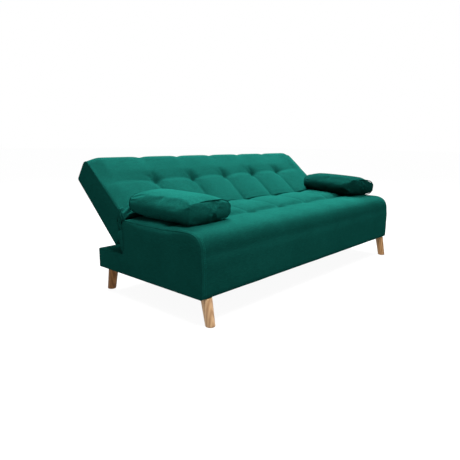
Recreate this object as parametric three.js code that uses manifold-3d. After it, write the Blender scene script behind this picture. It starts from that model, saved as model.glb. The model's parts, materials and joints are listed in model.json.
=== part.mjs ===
// A click-clack sofa bed: a low upholstered base on four round wooden legs, a padded backrest that
// reclines flat on two toothed hinges, and two loose bolster cushions.
// Millimetres. +Z is up, the front faces -Y, and left and right are as seen from the front.
// The origin is on the floor, midway between the ends and midway between the front feet and the
// backrest's top edge.
import * as THREE from "three";
import { mergeVertices } from "three/addons/utils/BufferGeometryUtils.js";
import Module from "manifold-3d";

const wasm = await Module();
wasm.setup();

// Driving dimensions. Y runs back from the base's front face until the last group moves it.
const WIDTH = 1800;
const LEG_HEIGHT = 124;
const SEAT_DEPTH = 553;
const SEAT_TOP = 398;
const TAIL_TOP = 225;
const BASE_DEPTH = 764;
const ROLL_RADIUS = 75; // the soft front edge of the seat
const MIDDLE_Y = 458; // halfway between the front feet and the backrest's top edge

// Backrest, in its own frame: U runs up along its rear face and W runs out of it, towards the front.
const BACK_CORNER = [617, 267]; // Y and Z of its lower rear corner
const BACK_LEAN = 47.1; // degrees from upright
const BACK_LENGTH = 443;
const BACK_THICKNESS = 158;
const BACK_SAG = 8; // how far the padding hangs below the rear face's lower edge
const BACK_TOP_SWELL = 15; // how far the top end's front edge stands past its rear edge
const BACK_HEEL = [64, 108]; // U and W of the step that swings past the seat
const BACK_HEEL_REAR = 78; // W where the step meets the lower end
const BACK_CLEARANCE = 1; // over the tail when the backrest lies flat
const BACK_FRAME_U = [8, 430]; // ends of the timber frame
const BACK_FRAME_W = [8, 64];
const BACK_BATTEN = 22;
const PIVOT_U = -28;
const PIVOT_W = 85.6;

// Materials' thicknesses.
const SKIN = 3; // fabric with its wadding
const PLY = 18;
const FIT = 0.3; // between pieces that touch
const PLATE = 5; // hinge steel
const PLATE_GAP = 1;
const ARM_ROOM = 3; // beside each hinge arm
const WEB = 2;
const WEB_WIDTH = 70;
const LINING = 1;

// Frame levels in the base.
const FRAME_BOTTOM = LEG_HEIGHT + LINING + 2.6;
const FRAME_TOP = 297;
const FOAM_BOTTOM = FRAME_TOP + WEB + 2 * FIT;
const EDGE_ROUND = 16; // the seat's rear top edge
const TAIL_ROUND = 8;
const SIDE_INNER = WIDTH / 2 - SKIN - FIT - PLY;
const POST = 60;
const RAIL_HALF = SIDE_INNER - POST - 2 * FIT;

// Legs.
const LEG_TOP_RADIUS = 25;
const LEG_FOOT_RADIUS = 20;
const LEG_SPLAY = 25; // how far a foot stands out in front of or behind its top
const LEG_INSET_X = 48;
const FRONT_LEG_Y = 21;
const REAR_LEG_Y = BASE_DEPTH - 56;
const FOOT_FLAT = 1.2; // worn off the foot's lowest edge
const BOLT_RADIUS = 4;
const BOLT_RANGE = [94, 160];
const NUT_BARREL = 14;
const NUT_RADIUS = 6.5;
const NUT_FLANGE = [12, 1.8]; // radius and thickness

// Hinges.
const HINGE_X = SIDE_INNER - FIT; // outer face of the seat arm
const BACK_ARM_X = HINGE_X - PLATE - PLATE_GAP; // outer face of the back arm
const SECTOR_RADIUS = 30;
const TOOTH_DEPTH = 6;
const TOOTH_HALF_ANGLE = 7;
const NOSE_ANGLE = 180; // where the pawl's nose meets the sector, from +Y towards +Z
const STOP_ANGLES = [0, 20]; // backrest angles that the teeth hold
const FLAT_ANGLE = -42.9;
const HINGE_ROOM_X = BACK_ARM_X - 18; // inner side of the room kept for both arms and their pins
const PIN_RADIUS = 8;
const PAWL_PIN = [503, 336];
const PAWL_PIN_RADIUS = 5;
const PAWL_LIFT = 16; // degrees the pawl is held clear of the teeth
const SPRING_LENGTH = 5;
const HINGE_TOP = 349; // of the side panel's ear that carries the hinge
const HINGE_BOTTOM = 276;
const EAR_FRONT = [440, 462]; // Y of the ear's sloped front edge, at its foot and its top
const SLOT_HEIGHTS = [HINGE_BOTTOM, HINGE_TOP - 3]; // of the slots the back arms swing in

// Bolsters.
const BOLSTER = { length: 384, width: 285, height: 116, round: 46 };
const BOLSTERS = [
  { side: "left", x: -700, y: 328, yaw: 4 },
  { side: "right", x: 763, y: 326, yaw: -6 },
];

const COLOURS = {
  fabric: new THREE.MeshStandardMaterial({ color: 0x16695c, roughness: 0.9 }),
  lining: new THREE.MeshStandardMaterial({ color: 0x1d1f1f, roughness: 0.95 }),
  foam: new THREE.MeshStandardMaterial({ color: 0xe6d9a8, roughness: 1 }),
  ply: new THREE.MeshStandardMaterial({ color: 0xc9a878, roughness: 0.75 }),
  leg_wood: new THREE.MeshStandardMaterial({ color: 0xc49a6c, roughness: 0.45 }),
  webbing: new THREE.MeshStandardMaterial({ color: 0x8a8577, roughness: 0.9 }),
  steel: new THREE.MeshStandardMaterial({ color: 0x6d7175, roughness: 0.4, metalness: 0.9 }),
};

const sofa = new THREE.Group();
sofa.position.y = -MIDDLE_Y;
const SIDES = [
  ["left", -1],
  ["right", 1],
];
const radians = THREE.MathUtils.degToRad;

function solidOf(geometry) {
  const plain = geometry.index ? geometry.toNonIndexed() : geometry.clone();
  plain.deleteAttribute("normal");
  plain.deleteAttribute("uv");
  const merged = mergeVertices(plain, 1e-3);
  return new wasm.Manifold(
    new wasm.Mesh({
      numProp: 3,
      vertProperties: merged.attributes.position.array,
      triVerts: new Uint32Array(merged.index.array),
    }),
  );
}

function geometryOf(solid) {
  const mesh = solid.getMesh();
  const geometry = new THREE.BufferGeometry();
  geometry.setAttribute("position", new THREE.BufferAttribute(mesh.vertProperties, 3));
  geometry.setIndex(new THREE.BufferAttribute(mesh.triVerts, 1));
  return geometry.toNonIndexed();
}

function cut(geometry, ...tools) {
  return geometryOf(tools.reduce((left, tool) => left.subtract(solidOf(tool)), solidOf(geometry)));
}

function join(geometry, ...more) {
  return geometryOf(more.reduce((sum, piece) => sum.add(solidOf(piece)), solidOf(geometry)));
}

function addPiece(group, name, geometry, material) {
  geometry.computeVertexNormals();
  const mesh = new THREE.Mesh(geometry, COLOURS[material].clone());
  mesh.name = name;
  group.add(mesh);
  return mesh;
}

function box(x0, x1, y0, y1, z0, z1) {
  const geometry = new THREE.BoxGeometry(x1 - x0, y1 - y0, z1 - z0);
  return geometry.translate((x0 + x1) / 2, (y0 + y1) / 2, (z0 + z1) / 2);
}

// A closed outline in Y and Z, extruded along X from x0 to x1.
function extrudeAlongX(shape, x0, x1, curveSegments = 8) {
  const options = { depth: x1 - x0, bevelEnabled: false, curveSegments };
  const geometry = new THREE.ExtrudeGeometry(shape, options);
  const turn = new THREE.Matrix4().makeBasis(
    new THREE.Vector3(0, 1, 0),
    new THREE.Vector3(0, 0, 1),
    new THREE.Vector3(1, 0, 0),
  );
  return geometry.applyMatrix4(turn).translate(x0, 0, 0);
}

// An outline through points, each given as [y, z] or as [y, z, radius] to round it.
function outline(points) {
  const shape = new THREE.Shape();
  const count = points.length;
  for (let i = 0; i < count; i += 1) {
    const [y, z, radius = 0] = points[i];
    const here = new THREE.Vector2(y, z);
    const before = new THREE.Vector2(...points[(i + count - 1) % count].slice(0, 2));
    const after = new THREE.Vector2(...points[(i + 1) % count].slice(0, 2));
    const start = here.clone().add(before.sub(here).setLength(radius));
    const end = here.clone().add(after.sub(here).setLength(radius));
    if (i === 0) shape.moveTo(start.x, start.y);
    else shape.lineTo(start.x, start.y);
    if (radius > 0) shape.quadraticCurveTo(y, z, end.x, end.y);
  }
  shape.closePath();
  return shape;
}

function cylinderAlongX(y, z, radius, x0, x1, sides = 24) {
  const geometry = new THREE.CylinderGeometry(radius, radius, x1 - x0, sides);
  return geometry.rotateZ(Math.PI / 2).translate((x0 + x1) / 2, y, z);
}

function cylinderUp(x, y, radius, z0, z1, sides = 16) {
  const geometry = new THREE.CylinderGeometry(radius, radius, z1 - z0, sides);
  return geometry.rotateX(Math.PI / 2).translate(x, y, (z0 + z1) / 2);
}

// A box on one side of the sofa, from its depths behind the outer surface on that side.
function sideBox(sign, outer, inner, y0, y1, z0, z1) {
  return box(Math.min(sign * outer, sign * inner), Math.max(sign * outer, sign * inner), y0, y1, z0, z1);
}

// Base, seen from its end: the seat block with its rolled front edge, and the low tail behind it.
function baseOutline(inset, bottom) {
  return outline([
    [inset, bottom],
    [BASE_DEPTH - inset, bottom],
    [BASE_DEPTH - inset, TAIL_TOP - inset, TAIL_ROUND],
    [SEAT_DEPTH - inset, TAIL_TOP - inset],
    [SEAT_DEPTH - inset, SEAT_TOP - inset, EDGE_ROUND],
    [inset, SEAT_TOP - inset, ROLL_RADIUS - inset],
  ]);
}

// Places a geometry drawn in the backrest's U and W onto Y and Z.
function lean(geometry) {
  const angle = radians(90 - BACK_LEAN);
  return geometry.rotateX(angle).translate(0, ...BACK_CORNER);
}

function leanPoint(u, w) {
  const angle = radians(90 - BACK_LEAN);
  const y = BACK_CORNER[0] + u * Math.cos(angle) - w * Math.sin(angle);
  const z = BACK_CORNER[1] + u * Math.sin(angle) + w * Math.cos(angle);
  return [y, z];
}

const PIVOT = leanPoint(PIVOT_U, PIVOT_W);

// Backrest, seen from its end. Its lower front corner is cut back to swing past the seat's edge.
function backOutline(inset, rear) {
  const [heelU, heelW] = BACK_HEEL;
  const [topRound, heelRound] = [42, 34];
  return outline([
    [inset - BACK_SAG, rear],
    [BACK_LENGTH - inset, rear],
    [BACK_LENGTH + BACK_TOP_SWELL - inset, BACK_THICKNESS - inset, topRound],
    [heelU + inset, BACK_THICKNESS - inset, heelRound],
    [heelU + inset, heelW - inset],
    [inset - BACK_SAG, BACK_HEEL_REAR - inset],
  ]);
}

function makeLegs() {
  const legs = [
    ["front_left", -1, FRONT_LEG_Y, -1],
    ["front_right", 1, FRONT_LEG_Y, -1],
    ["rear_left", -1, REAR_LEG_Y, 1],
    ["rear_right", 1, REAR_LEG_Y, 1],
  ];
  for (const [place, side, y, outward] of legs) {
    const x = side * (WIDTH / 2 - LEG_INSET_X);
    addPiece(sofa, "leg_" + place, legGeometry(x, y, outward), "leg_wood");
    const bolt = cylinderUp(x, y, BOLT_RADIUS, ...BOLT_RANGE);
    addPiece(sofa, "leg_bolt_" + place, bolt, "steel");
    addPiece(sofa, "leg_nut_" + place, nutGeometry(x, y), "steel");
    addPiece(sofa, "corner_post_" + place, postGeometry(side, x, y, outward), "ply");
  }
}

// A round tapered leg that leans outwards, its top cut level and its foot square to its axis.
function legGeometry(x, y, outward) {
  const tilt = Math.atan(LEG_SPLAY / LEG_HEIGHT);
  const length = LEG_HEIGHT / Math.cos(tilt);
  const spare = 12; // cut off level with the base's underside
  const widening = ((LEG_TOP_RADIUS - LEG_FOOT_RADIUS) * spare) / length;
  const top = LEG_TOP_RADIUS + widening;
  const round = 2;
  const profile = [
    new THREE.Vector2(0, 0),
    new THREE.Vector2(LEG_FOOT_RADIUS - round, 0),
    new THREE.Vector2(LEG_FOOT_RADIUS, round),
    new THREE.Vector2(top, length + spare),
    new THREE.Vector2(0, length + spare),
  ];
  const leg = new THREE.LatheGeometry(profile, 40).rotateX(Math.PI / 2 + outward * tilt);
  const sunk = (LEG_FOOT_RADIUS - round) * Math.sin(tilt) - FOOT_FLAT;
  leg.translate(x, y + outward * LEG_SPLAY, sunk);
  const [sideways, lengthways] = [60, 90]; // past the leg
  const plan = [x - sideways, x + sideways, y - lengthways, y + lengthways];
  const above = box(...plan, LEG_HEIGHT - FIT, LEG_HEIGHT + sideways);
  const below = box(...plan, -sideways, 0);
  const hole = cylinderUp(x, y, BOLT_RADIUS + FIT, BOLT_RANGE[0] - 1, LEG_HEIGHT + 10);
  return cut(leg, above, below, hole);
}

// A tee nut: a flange under the corner post and a barrel up inside it.
function nutGeometry(x, y) {
  const bottom = LEG_HEIGHT + LINING + FIT;
  const inner = BOLT_RADIUS + FIT;
  const [flange, thickness] = NUT_FLANGE;
  const profile = [
    new THREE.Vector2(inner, 0),
    new THREE.Vector2(flange, 0),
    new THREE.Vector2(flange, thickness),
    new THREE.Vector2(NUT_RADIUS, thickness),
    new THREE.Vector2(NUT_RADIUS, NUT_BARREL),
    new THREE.Vector2(inner, NUT_BARREL),
    new THREE.Vector2(inner, 0),
  ];
  return new THREE.LatheGeometry(profile, 16).rotateX(Math.PI / 2).translate(x, y, bottom);
}

function postGeometry(side, x, y, outward) {
  const front = SKIN + 2 * FIT;
  const y0 = outward < 0 ? front : BASE_DEPTH - front - POST;
  const top = outward < 0 ? FRAME_TOP : TAIL_TOP - SKIN - PLY - 3 * FIT;
  const inner = SIDE_INNER - FIT - POST;
  const post = sideBox(side, SIDE_INNER - FIT, inner, y0, y0 + POST, FRAME_BOTTOM, top);
  const past = 5; // past both ends of the hole
  return cut(post, cylinderUp(x, y, NUT_RADIUS + FIT + 0.1, FRAME_BOTTOM - past, BOLT_RANGE[1] + past));
}

function makeBaseFrame() {
  const front = SKIN + 2 * FIT;
  const rear = BASE_DEPTH - front;
  const seatRear = SEAT_DEPTH - SKIN - FIT;
  const tailTop = TAIL_TOP - SKIN - FIT;
  for (const [name, sign] of SIDES) {
    const x = sign * (SIDE_INNER + PLY / 2);
    const panel = outline([
      [front, FRAME_BOTTOM],
      [rear, FRAME_BOTTOM],
      [rear, tailTop, TAIL_ROUND + 1],
      [seatRear, tailTop],
      [seatRear, HINGE_TOP],
      [EAR_FRONT[1], HINGE_TOP],
      [EAR_FRONT[0], FRAME_TOP],
      [front, FRAME_TOP],
    ]);
    addPiece(sofa, "side_panel_" + name, extrudeAlongX(panel, x - PLY / 2, x + PLY / 2), "ply");
  }
  const halfSpan = SIDE_INNER - FIT;
  const frontRail = box(-RAIL_HALF, RAIL_HALF, front, front + PLY, FRAME_BOTTOM, FRAME_TOP);
  addPiece(sofa, "front_rail", frontRail, "ply");
  const deckBottom = tailTop - PLY;
  const rearRail = box(-RAIL_HALF, RAIL_HALF, rear - PLY, rear, FRAME_BOTTOM, deckBottom - FIT);
  addPiece(sofa, "rear_rail", rearRail, "ply");
  const middle = box(-halfSpan, halfSpan, seatRear - PLY, seatRear, FRAME_BOTTOM, FRAME_TOP);
  const past = 5; // past each face that a relief opens
  const reliefHeights = [HINGE_BOTTOM - 4, FRAME_TOP + past];
  const reliefs = SIDES.map(([, sign]) =>
    sideBox(sign, halfSpan + past, HINGE_ROOM_X, seatRear - PLY - past, seatRear + past, ...reliefHeights),
  );
  addPiece(sofa, "seat_back_rail", cut(middle, ...reliefs), "ply");
  const deckRear = rear - TAIL_ROUND + 1;
  const deck = box(-halfSpan, halfSpan, SEAT_DEPTH + FIT, deckRear, deckBottom, tailTop);
  addPiece(sofa, "tail_deck", deck, "ply");
  const ribEnd = seatRear - PLY - FIT;
  const strapDip = 20; // room for the webbing to give
  const rib = box(-PLY / 2, PLY / 2, front + PLY + FIT, ribEnd, FRAME_BOTTOM, FRAME_TOP - strapDip);
  addPiece(sofa, "centre_rib", rib, "ply");
  const tailRib = box(-PLY / 2, PLY / 2, seatRear + FIT, rear - PLY - FIT, FRAME_BOTTOM, deckBottom - FIT);
  addPiece(sofa, "tail_rib", tailRib, "ply");
}

function makeSeatPadding() {
  const seatRear = SEAT_DEPTH - SKIN - FIT;
  const straps = 5;
  const pitch = (2 * RAIL_HALF) / straps;
  for (let i = 0; i < straps; i += 1) {
    const x = (i - (straps - 1) / 2) * pitch;
    const [bottom, top] = [FRAME_TOP + FIT, FRAME_TOP + FIT + WEB];
    const strap = box(x - WEB_WIDTH / 2, x + WEB_WIDTH / 2, SKIN + 2, seatRear, bottom, top);
    addPiece(sofa, "seat_webbing_" + (i + 1), strap, "webbing");
  }
  const pockets = SIDES.map(([, sign]) =>
    sideBox(sign, WIDTH, HINGE_ROOM_X, EAR_FRONT[0] - 4, SEAT_DEPTH, FOAM_BOTTOM - 5, HINGE_TOP + 5),
  );
  addPiece(sofa, "seat_foam", cut(foamBlock(), ...pockets), "foam");
}

function foamBlock() {
  const inset = SKIN + FIT;
  const half = WIDTH / 2 - inset;
  const shape = outline([
    [inset, FOAM_BOTTOM],
    [SEAT_DEPTH - inset, FOAM_BOTTOM],
    [SEAT_DEPTH - inset, SEAT_TOP - inset, EDGE_ROUND],
    [inset, SEAT_TOP - inset, ROLL_RADIUS - inset],
  ]);
  return extrudeAlongX(shape, -half, half);
}

function makeBaseCover() {
  const half = WIDTH / 2;
  const outside = extrudeAlongX(baseOutline(0, LEG_HEIGHT), -half, half);
  const inside = extrudeAlongX(baseOutline(SKIN, LEG_HEIGHT - 20), SKIN - half, half - SKIN);
  const slotDepths = [SEAT_DEPTH - 10, SEAT_DEPTH + 10];
  const slots = SIDES.map(([, sign]) =>
    sideBox(sign, BACK_ARM_X + ARM_ROOM, BACK_ARM_X - PLATE - ARM_ROOM, ...slotDepths, ...SLOT_HEIGHTS),
  );
  addPiece(sofa, "base_cover", cut(outside, inside, ...slots), "fabric");
  const edge = SKIN + FIT;
  const sheet = box(edge - half, half - edge, edge, BASE_DEPTH - edge, LEG_HEIGHT, LEG_HEIGHT + LINING);
  const holes = [];
  for (const [, sign] of SIDES)
    for (const y of [FRONT_LEG_Y, REAR_LEG_Y])
      holes.push(cylinderUp(sign * (half - LEG_INSET_X), y, 6, LEG_HEIGHT - 5, LEG_HEIGHT + 9));
  addPiece(sofa, "dust_cover", cut(sheet, ...holes), "lining");
}

function makeHinges(back) {
  for (const [name, sign] of SIDES) {
    const plates = hingeSide(sign);
    addPiece(sofa, "hinge_seat_arm_" + name, plates.seatArm, "steel");
    addPiece(sofa, "hinge_pin_" + name, plates.pin, "steel");
    addPiece(sofa, "pawl_pin_" + name, plates.pawlPin, "steel");
    addPiece(back, "hinge_back_arm_" + name, plates.backArm, "steel");
    addPiece(sofa, "hinge_pawl_" + name, plates.pawl, "steel");
    addPiece(sofa, "pawl_spring_" + name, plates.spring, "steel");
  }
}

// The X range of a plate whose outer face is at depth outer on one side.
function plateRange(sign, outer, thickness) {
  const ends = [sign * outer, sign * (outer - thickness)];
  return [Math.min(...ends), Math.max(...ends)];
}

function hingeSide(sign) {
  const seatRange = plateRange(sign, HINGE_X, PLATE);
  const backRange = plateRange(sign, BACK_ARM_X, PLATE);
  const [pivotY, pivotZ] = PIVOT;
  const rear = SEAT_DEPTH - SKIN - 2 * FIT;
  const seatPlate = outline([
    [446, 302, 8],
    [500, HINGE_BOTTOM, 8],
    [rear, HINGE_BOTTOM, 8],
    [rear, HINGE_TOP - 2, 8],
    [480, HINGE_TOP - 2, 8],
  ]);
  const seatArm = cut(
    extrudeAlongX(seatPlate, ...seatRange, 4),
    cylinderAlongX(pivotY, pivotZ, PIN_RADIUS + FIT, ...grow(seatRange)),
    cylinderAlongX(...PAWL_PIN, PAWL_PIN_RADIUS + FIT, ...grow(seatRange)),
  );
  return {
    seatArm,
    pin: pinGeometry(sign, PIVOT, PIN_RADIUS, 0),
    pawlPin: pinGeometry(sign, PAWL_PIN, PAWL_PIN_RADIUS, SPRING_LENGTH),
    spring: springGeometry(sign),
    backArm: backArmGeometry(backRange),
    pawl: pawlGeometry(backRange),
  };
}

function grow([low, high]) {
  return [low - 5, high + 5];
}

// A shouldered pin through both plates, with its head on the inner side past any spare length.
function pinGeometry(sign, [y, z], radius, spare) {
  const grip = 2 * PLATE + PLATE_GAP + FIT + spare;
  return join(
    cylinderAlongX(y, z, radius, ...plateRange(sign, HINGE_X, grip)),
    cylinderAlongX(y, z, radius + 3, ...plateRange(sign, HINGE_X - grip, 3)),
  );
}

// The coil of a torsion spring round the pawl's pin, as one closed ring.
function springGeometry(sign) {
  const [x0, x1] = plateRange(sign, HINGE_X - 2 * PLATE - PLATE_GAP - FIT, SPRING_LENGTH - FIT);
  const [inner, outer] = [PAWL_PIN_RADIUS + FIT, PAWL_PIN_RADIUS + 2.6];
  const profile = [
    new THREE.Vector2(inner, x0),
    new THREE.Vector2(outer, x0),
    new THREE.Vector2(outer, x1),
    new THREE.Vector2(inner, x1),
    new THREE.Vector2(inner, x0),
  ];
  return new THREE.LatheGeometry(profile, 24).rotateZ(-Math.PI / 2).translate(0, ...PAWL_PIN);
}

// Steel arm of the backrest: a toothed sector round the pivot and a strap up the frame's stile.
function backArmGeometry(range) {
  const strap = outline([
    [PIVOT_U - 4, PIVOT_W - 16, 6],
    [42, 24, 12],
    [196, 24, 8],
    [196, 52, 8],
    [66, 54, 12],
    [PIVOT_U + 12, PIVOT_W + 15, 8],
  ]);
  const arm = lean(extrudeAlongX(strap, ...range, 4));
  const [y, z] = PIVOT;
  const teeth = STOP_ANGLES.map((stop) => toothGap(NOSE_ANGLE - stop, range));
  const flatGap = toothGap(NOSE_ANGLE - FLAT_ANGLE, range);
  const disc = cylinderAlongX(y, z, SECTOR_RADIUS, ...range, 48);
  const rearTrim = box(-WIDTH, WIDTH, y + 14, y + 60, z - 60, z + 60);
  const sector = cut(disc, rearTrim);
  const hole = cylinderAlongX(y, z, PIN_RADIUS + FIT, ...grow(range));
  return cut(join(arm, sector), ...teeth, flatGap, hole);
}

// The gap that the pawl's nose drops into, centred on an angle round the pivot.
function toothGap(degrees, range) {
  const [y, z] = PIVOT;
  const corner = (radius, offset) => {
    const angle = radians(degrees + offset);
    return [y + radius * Math.cos(angle), z + radius * Math.sin(angle)];
  };
  const gap = outline([
    corner(SECTOR_RADIUS - TOOTH_DEPTH, TOOTH_HALF_ANGLE),
    corner(SECTOR_RADIUS + 9, TOOTH_HALF_ANGLE + 2),
    corner(SECTOR_RADIUS + 9, -TOOTH_HALF_ANGLE - 2),
    corner(SECTOR_RADIUS - TOOTH_DEPTH, -TOOTH_HALF_ANGLE),
  ]);
  return extrudeAlongX(gap, ...grow(range));
}

// The pawl hangs in front of the sector, swung clear of the teeth. Turning it by PAWL_LIFT about +X
// swings its nose into a gap.
function pawlGeometry(range) {
  const [pinY, pinZ] = PAWL_PIN;
  const [pivotY, pivotZ] = PIVOT;
  const rim = pivotY - SECTOR_RADIUS;
  const tip = rim + TOOTH_DEPTH - 1.5;
  const lever = outline([
    [pinY - 8, pinZ + 8, 6],
    [pinY - 7, pivotZ - 6, 4],
    [rim - 2, pivotZ - 4, 1],
    [tip, pivotZ - 1.5],
    [tip, pivotZ + 1.5],
    [rim - 2, pivotZ + 4, 1],
    [pinY + 7, pinZ - 4, 3],
    [pinY + 8, pinZ + 8, 6],
  ]);
  const blank = extrudeAlongX(lever, ...range, 4);
  const pawl = cut(blank, cylinderAlongX(pinY, pinZ, PAWL_PIN_RADIUS + FIT, ...grow(range)));
  return pawl.translate(0, -pinY, -pinZ).rotateX(radians(-PAWL_LIFT)).translate(0, pinY, pinZ);
}

function makeBackFrame(back) {
  const [low, high] = BACK_FRAME_U;
  const [w0, w1] = BACK_FRAME_W;
  const outer = BACK_ARM_X - PLATE - FIT;
  const inner = outer - BACK_BATTEN;
  for (const [name, sign] of SIDES)
    addPiece(back, "back_stile_" + name, lean(sideBox(sign, outer, inner, low, high, w0, w1)), "ply");
  const half = inner - FIT;
  const topRail = lean(box(-half, half, high - BACK_BATTEN, high, w0, w1));
  addPiece(back, "back_top_rail", topRail, "ply");
  const bottomRail = lean(box(-half, half, low, low + BACK_BATTEN, w0, w1));
  addPiece(back, "back_bottom_rail", bottomRail, "ply");
  const centreEnds = [low + BACK_BATTEN + FIT, high - BACK_BATTEN - FIT];
  const centre = lean(box(-BACK_BATTEN / 2, BACK_BATTEN / 2, ...centreEnds, w0, w1));
  addPiece(back, "back_centre_stile", centre, "ply");
  const straps = 4;
  const pitch = 400;
  for (let i = 0; i < straps; i += 1) {
    const x = (i - (straps - 1) / 2) * pitch;
    const strap = box(x - WEB_WIDTH / 2, x + WEB_WIDTH / 2, low, high, w1 + FIT, w1 + FIT + WEB);
    addPiece(back, "back_webbing_" + (i + 1), lean(strap), "webbing");
  }
}

function makeBackPadding(back) {
  const half = WIDTH / 2;
  const armReach = [-60, BACK_HEEL[0] - 2, 20, BACK_HEEL[1] - 4]; // U and W of the arm below its stile
  const armRoom = (sign) =>
    lean(sideBox(sign, BACK_ARM_X + ARM_ROOM, BACK_ARM_X - PLATE - ARM_ROOM, ...armReach));
  const rooms = SIDES.map(([, sign]) => armRoom(sign));
  const outside = lean(extrudeAlongX(backOutline(0, BACK_CLEARANCE), -half, half));
  const inside = lean(extrudeAlongX(backOutline(SKIN, -20), SKIN - half, half - SKIN));
  addPiece(back, "back_cover", cut(outside, inside, ...rooms), "fabric");
  const edge = SKIN + FIT;
  const panelTop = BACK_FRAME_W[0] - 2;
  const panel = lean(box(edge - half, half - edge, edge, BACK_LENGTH - edge, BACK_CLEARANCE, panelTop));
  addPiece(back, "back_panel", cut(panel, ...rooms), "lining");
  const block = lean(extrudeAlongX(backOutline(edge, panelTop + FIT), edge - half, half - edge));
  const past = 20; // past the open rear and lower end
  const roomU = [-past, BACK_FRAME_U[1] + 2];
  const roomW = [-past, BACK_FRAME_W[1] + WEB + 2 * FIT];
  const frameRoom = lean(box(-BACK_ARM_X - 1, BACK_ARM_X + 1, ...roomU, ...roomW));
  addPiece(back, "back_foam", cut(block, frameRoom, ...rooms), "foam");
}

// A soft box-edge cushion: a rounded block whose long edges and ends are eased.
function bolsterGeometry() {
  const { length, width, height, round } = BOLSTER;
  const ease = 26;
  const [halfWidth, halfLength] = [width / 2 - ease, length / 2 - ease];
  const plan = outline([
    [-halfWidth, -halfLength, round],
    [halfWidth, -halfLength, round],
    [halfWidth, halfLength, round],
    [-halfWidth, halfLength, round],
  ]);
  const options = {
    depth: height - 2 * ease,
    bevelThickness: ease,
    bevelSize: ease,
    bevelSegments: 4,
    curveSegments: 5,
  };
  return new THREE.ExtrudeGeometry(plan, options).translate(0, 0, ease);
}

function makeBolsters() {
  for (const { side, x, y, yaw } of BOLSTERS) {
    const cushion = addPiece(sofa, "bolster_" + side, bolsterGeometry(), "fabric");
    cushion.position.set(x, y, SEAT_TOP + FIT);
    cushion.rotation.z = radians(yaw);
  }
}

const backrest = new THREE.Group();
sofa.add(backrest);
makeLegs();
makeBaseFrame();
makeSeatPadding();
makeBaseCover();
makeHinges(backrest);
makeBackFrame(backrest);
makeBackPadding(backrest);
makeBolsters();

export default sofa;
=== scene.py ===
import json
import math

import bmesh
import bpy
import numpy as np
from mathutils import Matrix, Vector
from mathutils.geometry import delaunay_2d_cdt


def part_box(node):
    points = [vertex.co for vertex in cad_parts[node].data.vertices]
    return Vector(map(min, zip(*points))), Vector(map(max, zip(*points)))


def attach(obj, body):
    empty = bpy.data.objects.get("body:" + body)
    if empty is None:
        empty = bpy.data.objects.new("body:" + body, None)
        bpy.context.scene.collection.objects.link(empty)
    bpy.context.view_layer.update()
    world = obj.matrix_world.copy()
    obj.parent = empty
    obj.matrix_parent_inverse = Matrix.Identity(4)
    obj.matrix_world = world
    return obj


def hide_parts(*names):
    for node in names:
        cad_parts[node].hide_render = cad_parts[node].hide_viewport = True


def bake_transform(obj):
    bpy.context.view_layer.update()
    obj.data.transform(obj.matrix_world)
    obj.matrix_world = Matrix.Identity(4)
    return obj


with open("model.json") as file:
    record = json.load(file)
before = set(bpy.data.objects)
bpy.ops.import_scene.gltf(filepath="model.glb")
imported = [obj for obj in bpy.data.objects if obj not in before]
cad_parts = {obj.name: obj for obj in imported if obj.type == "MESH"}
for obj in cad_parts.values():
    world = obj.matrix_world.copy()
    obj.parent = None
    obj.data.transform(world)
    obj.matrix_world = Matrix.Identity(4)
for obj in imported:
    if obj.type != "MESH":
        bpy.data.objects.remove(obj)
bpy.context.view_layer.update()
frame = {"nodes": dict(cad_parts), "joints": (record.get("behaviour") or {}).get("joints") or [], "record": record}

scene = bpy.context.scene

# -------- sizes, metres, from the frame

COVER_LOW, COVER_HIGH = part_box("base_cover")
SKIN = 0.0033  # cover and fitting gap over the foam and the timber
HALF = COVER_HIGH.x  # half the sofa's width
FRONT = COVER_LOW.y
REAR = COVER_HIGH.y
BOTTOM = COVER_LOW.z
SEAT_TOP = COVER_HIGH.z
SEAT_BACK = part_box("seat_foam")[1].y + SKIN
TAIL_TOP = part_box("tail_deck")[1].z + SKIN
PIVOT = Vector(next(j["pos_m"] for j in frame["joints"] if j["name"] == "recline"))
ROLL = 0.086  # the seat's soft front edge
ROLL_ARC = 1.62 * ROLL

# The backrest's own frame: U up its rear face, W out of it. The origin is its lower rear corner.
LEAN = math.radians(90 - 47.1)
PIVOT_U, PIVOT_W = -0.028, 0.0856
ALONG = np.array([math.cos(LEAN), math.sin(LEAN)])
OUT = np.array([-math.sin(LEAN), math.cos(LEAN)])
BACK_ORIGIN = np.array([PIVOT.y, PIVOT.z]) - PIVOT_U * ALONG - PIVOT_W * OUT
BACK_LENGTH = 0.443
BACK_FACE_U, BACK_FACE_W, BACK_FACE_RUN = 0.084, 0.158, 0.0325  # where the flat of its face begins

LEG_SPLAY = 0.025
TUFT_X = [-0.56, -0.28, 0.0, 0.28, 0.56]
SIDES = {-1: "left", 1: "right"}
BOLSTERS = {  # x, y, lift, then yaw, pitch and roll in degrees
    "left": (-0.72, -0.122, 0.001, 4.0, 1.6, 0.6),
    "right": (0.79, -0.124, 0.007, -6.0, 1.6, 4.5),
}
BOLSTER_LENGTH, BOLSTER_WIDTH, BOLSTER_HEIGHT = 0.402, 0.308, 0.117
BOLSTER_WELT, END_WELT = 0.0024, 0.0019  # radii
SEAT_BED = 0.009  # how far the bolsters' undersides are over the plain seat top
SEAT_TUFT_RUN = 0.303  # from the seat's rear edge, over the cover
BACK_TUFT_RUN = 0.204  # from the backrest's lower front edge, over the cover
STEP = 0.28 / 24  # 24 steps from tuft to tuft
SLOT_STATIONS = [0.8644, 0.8754]  # the sides of the slots that the hinge arms swing in
SLOT_LOW, SLOT_HIGH, SLOT_DEPTH = 0.276, 0.346, 0.1

# -------- node materials


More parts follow.
